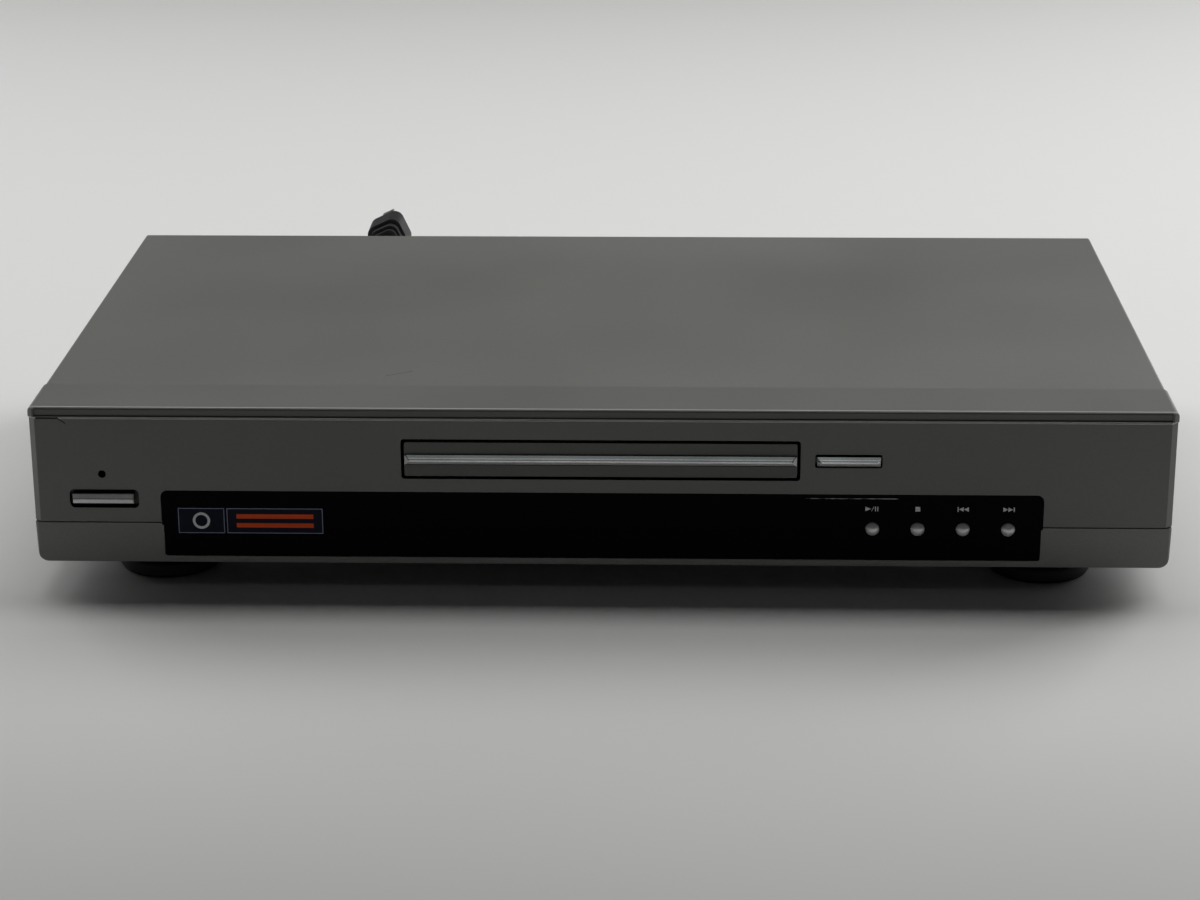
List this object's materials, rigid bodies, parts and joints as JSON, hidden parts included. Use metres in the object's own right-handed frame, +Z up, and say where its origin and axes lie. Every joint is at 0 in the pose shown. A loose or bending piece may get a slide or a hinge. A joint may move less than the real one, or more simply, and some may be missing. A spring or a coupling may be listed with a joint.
{
  "type": "disc player",
  "caption": "Slim full-width video disc player with a motor-driven disc tray, display window, push buttons, rear sockets and mains cord.",
  "frame": {"origin": "on the floor under the middle of the player, cord left out", "axes": "+Z up, front panel faces -Y, +X to the right of someone facing the front panel"},
  "size_m": [0.4314, 0.5135, 0.0734],
  "materials": {
    "bezel_grey": "satin metallic-grey paint on moulded plastic",
    "trim_grey": "satin grey paint on moulded plastic",
    "window_black": "polished black acrylic",
    "cover_grey": "fine satin grey paint",
    "zinc_sheet": "zinc-plated sheet",
    "panel_grey": "satin paint",
    "screw_black": "black oxide",
    "screw_steel": "plain",
    "foot_black": "matte",
    "door_grey": "satin paint",
    "bar_silver": "silver-plated plastic",
    "tray_black": "fine texture",
    "button_silver": "silver-painted plastic",
    "led_dark": "clear tinted",
    "board_brown": "phenolic laminate",
    "board_green": "solder-masked laminate",
    "part_black": "moulded",
    "tube_glass": "dark glass",
    "loader_black": "moulded",
    "gear_white": "acetal",
    "steel_bright": "ground steel",
    "motor_can": "plated can",
    "brass_pulley": "turned",
    "belt_rubber": "matte",
    "lens_dark": "coated lens in a black holder",
    "transformer_yellow": "taped winding and ferrite",
    "capacitor_sleeve": "shrink sleeve",
    "sink_aluminium": "extruded",
    "jack_metal": "nickel plated",
    "ribbon_white": "flat cable",
    "cord_black": "soft moulded",
    "plug_black": "moulded",
    "blade_metal": "nickel-plated brass"
  },
  "bodies": {
    "player": {"front_bezel": "bezel_grey", "lower_trim": "trim_grey", "display_window": "window_black", "top_cover": "cover_grey", "bottom_chassis": "zinc_sheet", "rear_panel": "panel_grey", "case_screws": "screw_black", "front_left_foot": "foot_black", "front_right_foot": "foot_black", "rear_left_foot": "foot_black", "rear_right_foot": "foot_black", "standby_led": "led_dark", "front_board": "board_brown", "tact_switches": "part_black", "display_tube": "tube_glass", "ir_receiver": "part_black", "loader_frame": "loader_black", "loader_screws": "screw_steel", "clamp_bridge": "zinc_sheet", "loading_motor": "motor_can", "loading_belt": "belt_rubber", "main_board": "board_green", "decoder_chips": "part_black", "power_board": "board_brown", "mains_transformer": "transformer_yellow", "reservoir_capacitors": "capacitor_sleeve", "heat_sink": "sink_aluminium", "av_jack_housing": "part_black", "av_jack_shells": "jack_metal", "s_video_socket": "part_black", "optical_socket": "part_black", "ribbon_cables": "ribbon_white", "cord_gland": "cord_black", "power_cord": "cord_black", "cord_hank": "cord_black", "hank_tie": "belt_rubber", "plug_body": "plug_black", "plug_blades": "blade_metal"},
    "tray": {"disc_tray": "tray_black", "tray_door": "door_grey", "tray_door_bar": "bar_silver"},
    "power_key": {"power_button": "button_silver"},
    "open_close_key": {"open_close_button": "button_silver"},
    "play_pause_key": {"play_pause_button": "button_silver"},
    "stop_key": {"stop_button": "button_silver"},
    "skip_back_key": {"skip_back_button": "button_silver"},
    "skip_forward_key": {"skip_forward_button": "button_silver"},
    "clamp": {"clamp_disc": "gear_white"},
    "traverse": {"traverse_frame": "loader_black", "spindle_motor": "motor_can", "guide_rods": "steel_bright", "sled_motor": "motor_can"},
    "spindle": {"turntable": "part_black"},
    "sled": {"pickup_sled": "part_black", "pickup_lens": "lens_dark"},
    "screw": {"lead_screw": "steel_bright"},
    "belt_driver": {"motor_pulley": "brass_pulley"},
    "belt_wheel": {"pulley_gear": "gear_white"},
    "rack_wheel": {"drive_gear": "gear_white"},
    "cam": {"cam_slider": "gear_white"}
  },
  "joints": [
    {"name": "tray_slide", "type": "slide", "parent": "player", "child": "tray", "axis": [0, -1, 0], "range_m": [0, 0.145]},
    {"name": "rack_wheel_spin", "type": "hinge", "parent": "player", "child": "rack_wheel", "pos_m": [-0.048, -0.094, 0.045], "axis": [0, 0, 1], "range_deg": [0, 833]},
    {"name": "belt_wheel_spin", "type": "hinge", "parent": "player", "child": "belt_wheel", "pos_m": [-0.02922, -0.09799, 0.04], "axis": [0, 0, 1], "range_deg": [-2494, 0]},
    {"name": "belt_driver_spin", "type": "hinge", "parent": "player", "child": "belt_driver", "pos_m": [0.015, -0.09799, 0.04], "axis": [0, 0, 1], "range_deg": [-8310, 0]},
    {"name": "traverse_tilt", "type": "hinge", "parent": "player", "child": "traverse", "pos_m": [0, 0.036, 0.04], "axis": [1, 0, 0], "range_deg": [0, 5]},
    {"name": "cam_slide", "type": "slide", "parent": "player", "child": "cam", "axis": [1, 0, 0], "range_m": [0, 0.0201]},
    {"name": "spindle_spin", "type": "hinge", "parent": "traverse", "child": "spindle", "pos_m": [0, -0.05, 0.05], "axis": [0, 0, 1], "continuous": true},
    {"name": "clamp_spin", "type": "hinge", "parent": "player", "child": "clamp", "pos_m": [0, -0.05, 0.06], "axis": [0, 0, 1], "continuous": true},
    {"name": "pickup_slide", "type": "slide", "parent": "traverse", "child": "sled", "axis": [0, 1, 0], "range_m": [0, 0.034]},
    {"name": "lead_screw_spin", "type": "hinge", "parent": "traverse", "child": "screw", "pos_m": [0.031, -0.05, 0.04], "axis": [0, 1, 0], "range_deg": [0, 4082]},
    {"name": "power_press", "type": "slide", "parent": "player", "child": "power_key", "axis": [0, 1, 0], "range_m": [0, 0.0008], "stiffness_N_per_m": 900},
    {"name": "open_close_press", "type": "slide", "parent": "player", "child": "open_close_key", "axis": [0, 1, 0], "range_m": [0, 0.0008], "stiffness_N_per_m": 900},
    {"name": "play_pause_press", "type": "slide", "parent": "player", "child": "play_pause_key", "axis": [0, 1, 0], "range_m": [0, 0.0008], "stiffness_N_per_m": 900},
    {"name": "stop_press", "type": "slide", "parent": "player", "child": "stop_key", "axis": [0, 1, 0], "range_m": [0, 0.0008], "stiffness_N_per_m": 900},
    {"name": "skip_back_press", "type": "slide", "parent": "player", "child": "skip_back_key", "axis": [0, 1, 0], "range_m": [0, 0.0008], "stiffness_N_per_m": 900},
    {"name": "skip_forward_press", "type": "slide", "parent": "player", "child": "skip_forward_key", "axis": [0, 1, 0], "range_m": [0, 0.0008], "stiffness_N_per_m": 900}
  ],
  "couplings": [
    {"joint": "rack_wheel_spin", "follows": "tray_slide", "rad_per_m": 100},
    {"joint": "belt_wheel_spin", "follows": "tray_slide", "rad_per_m": -300},
    {"joint": "belt_driver_spin", "follows": "tray_slide", "rad_per_m": -1000},
    {"joint": "cam_slide", "follows": "traverse_tilt", "m_per_rad": 0.22918},
    {"joint": "clamp_spin", "follows": "spindle_spin", "ratio": 1},
    {"joint": "lead_screw_spin", "follows": "pickup_slide", "rad_per_m": 2094.4}
  ]
}
